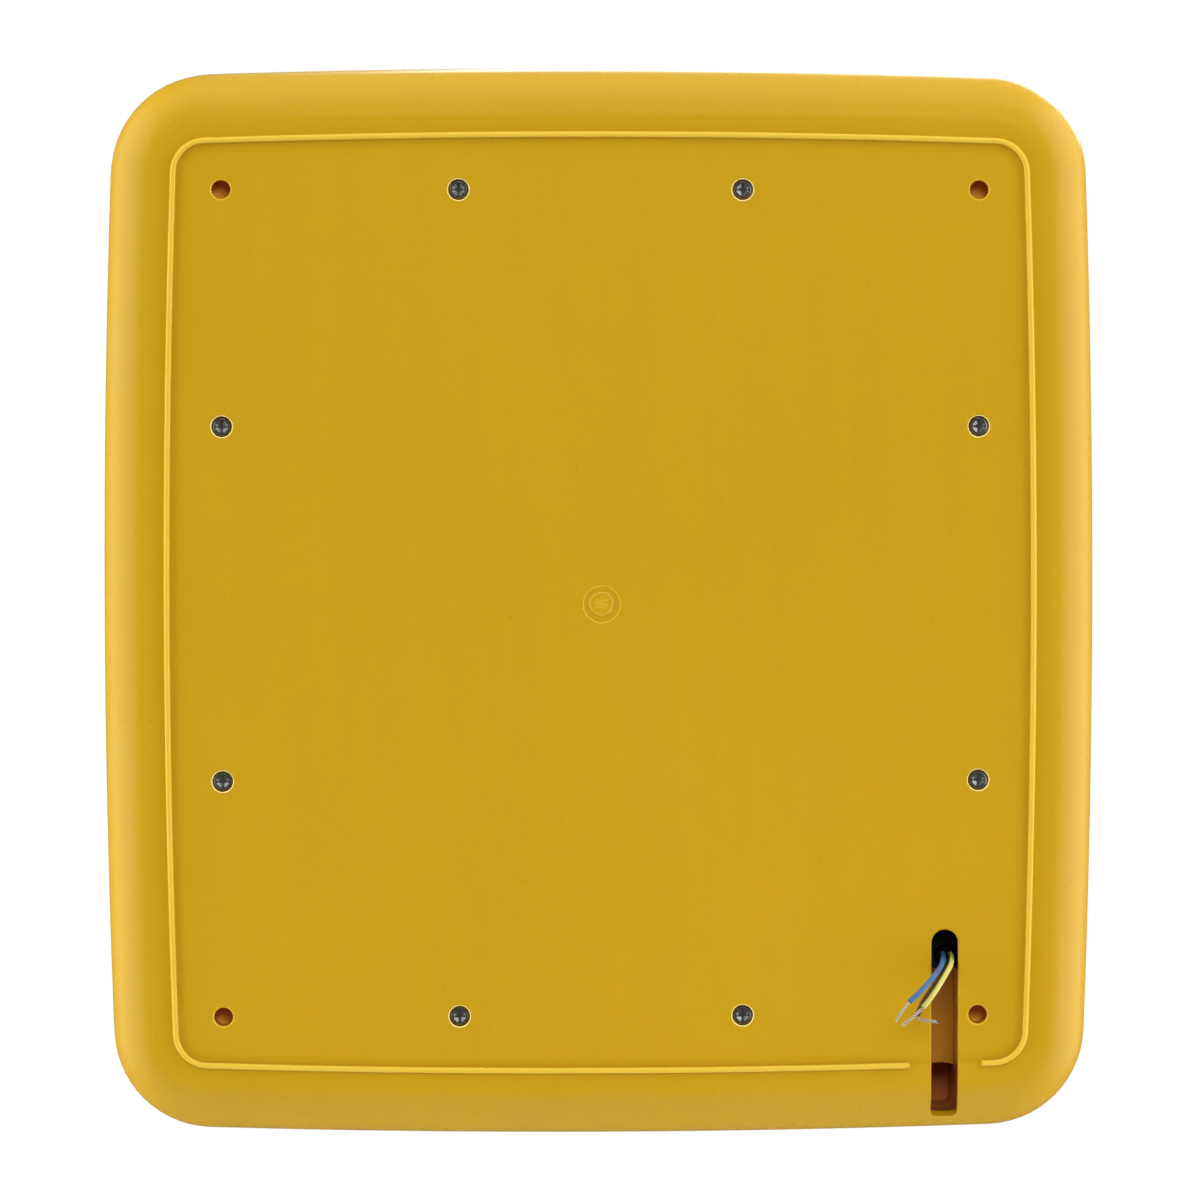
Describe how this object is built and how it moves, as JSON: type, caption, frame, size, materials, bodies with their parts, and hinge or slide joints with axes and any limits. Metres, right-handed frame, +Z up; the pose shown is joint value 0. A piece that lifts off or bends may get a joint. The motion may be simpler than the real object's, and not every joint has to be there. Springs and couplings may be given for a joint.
{
  "type": "pedestrian traffic light",
  "caption": "Wall-mounted pedestrian light: bowed yellow two-part housing, hinged lens door with stop and walk figures, sun visor, LED gear and free supply conductors at the back.",
  "frame": {"origin": "centre of the flat back panel, where the housing is screwed to its wall or pole bracket", "axes": "+Y out of the back towards the wall, +Z up, +X to the right as a walker sees the lenses"},
  "size_m": [0.3774, 0.2117, 0.406],
  "materials": {
    "yellow_plastic": "glossy moulded plastic",
    "black_rubber": "matt rubber",
    "black_plastic": "fine-grained black plastic",
    "clear_lens": "clear polycarbonate",
    "red_lens": "red translucent plastic",
    "green_lens": "green translucent plastic",
    "white_plastic": "white plastic and board lacquer",
    "grey_plastic": "grey plastic",
    "steel": "zinc-plated steel",
    "blue_pvc": "soft blue insulation",
    "brown_pvc": "soft brown insulation",
    "earth_pvc": "soft yellow insulation with a green stripe",
    "tinned_copper": "twisted tinned copper strands"
  },
  "bodies": {
    "housing": {"rear_housing": "yellow_plastic", "front_frame": "yellow_plastic", "body_gasket": "black_rubber", "cable_grommet": "black_rubber", "grommet_nut": "black_plastic", "supply_cable": "black_plastic", "driver_lead": "black_plastic", "led_lead_stop": "black_plastic", "led_lead_walk": "black_plastic", "gear_tray": "white_plastic", "led_driver": "grey_plastic", "terminal_block": "white_plastic", "led_board_stop": "white_plastic", "led_board_walk": "white_plastic", "light_box_stop": "white_plastic", "light_box_walk": "white_plastic", "hinge_pin_upper": "steel", "hinge_pin_lower": "steel", "housing_screw_1": "steel", "housing_screw_2": "steel", "housing_screw_3": "steel", "housing_screw_4": "steel", "housing_screw_5": "steel", "housing_screw_6": "steel", "housing_screw_7": "steel", "housing_screw_8": "steel", "tray_screw_1": "steel", "tray_screw_2": "steel", "tray_screw_3": "steel", "tray_screw_4": "steel", "driver_screw_1": "steel", "driver_screw_2": "steel", "wire_blue": "blue_pvc", "wire_brown": "brown_pvc", "wire_earth": "earth_pvc", "strand_blue": "tinned_copper", "strand_brown": "tinned_copper", "strand_earth": "tinned_copper"},
    "door": {"lens_door": "black_plastic", "door_gasket": "black_rubber", "sun_visor": "black_plastic", "symbol_mask": "black_plastic", "lens_retainer": "black_plastic", "front_lens": "clear_lens", "diffuser_stop": "red_lens", "diffuser_walk": "green_lens", "retainer_screw_1": "steel", "retainer_screw_2": "steel", "retainer_screw_3": "steel", "retainer_screw_4": "steel", "visor_screw_1": "steel", "visor_screw_2": "steel", "visor_screw_3": "steel", "visor_screw_4": "steel"},
    "latch_upper": {"latch_upper": "steel"},
    "latch_lower": {"latch_lower": "steel"}
  },
  "joints": [
    {"name": "door_hinge", "type": "hinge", "parent": "housing", "child": "door", "pos_m": [0.1827, -0.0828, 0], "axis": [0, 0, 1], "range_deg": [0, 105]},
    {"name": "latch_upper_turn", "type": "hinge", "parent": "door", "child": "latch_upper", "pos_m": [-0.1606, -0.072, 0.0875], "axis": [0, 1, 0], "range_deg": [0, 90]},
    {"name": "latch_lower_turn", "type": "hinge", "parent": "door", "child": "latch_lower", "pos_m": [-0.1606, -0.072, -0.0875], "axis": [0, 1, 0], "range_deg": [0, 90]}
  ]
}
